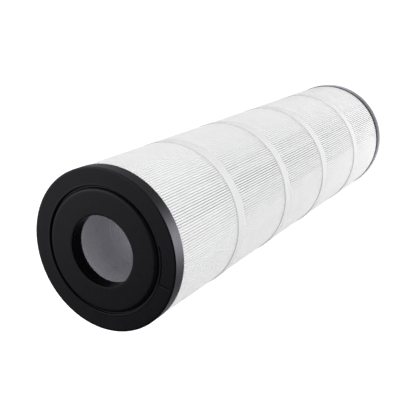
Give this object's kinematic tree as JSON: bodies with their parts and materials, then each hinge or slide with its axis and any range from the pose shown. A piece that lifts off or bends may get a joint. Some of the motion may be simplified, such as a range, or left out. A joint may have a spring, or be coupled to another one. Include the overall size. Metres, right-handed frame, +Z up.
{
  "type": "filter cartridge",
  "caption": "Pleated water filter cartridge with two open black end caps, white polyester pleats, straps round the pleats and a perforated core.",
  "frame": {"origin": "centre of the bottom cap's lowest face, on the cartridge's axis", "axes": "+Z up along the cartridge's axis, from the bottom cap to the top cap; +X and +Y radial, with the pleat seam on the +Y side and the top cap's blank pad on the -X -Y side"},
  "size_m": [0.1772, 0.1772, 0.651],
  "materials": {
    "cap_polyurethane": "satin",
    "media_polyester": "matte",
    "seam_hot_melt": "satin",
    "band_polyester": "matte",
    "core_plastic": "satin"
  },
  "bodies": {
    "root": {"top_end_cap": "cap_polyurethane", "bottom_end_cap": "cap_polyurethane", "pleated_media": "media_polyester", "media_seam_bead": "seam_hot_melt", "band_1": "band_polyester", "band_2": "band_polyester", "band_3": "band_polyester", "band_4": "band_polyester", "core_section_1": "core_plastic", "core_section_2": "core_plastic", "core_section_3": "core_plastic", "core_section_4": "core_plastic", "core_section_5": "core_plastic"}
  },
  "joints": []
}
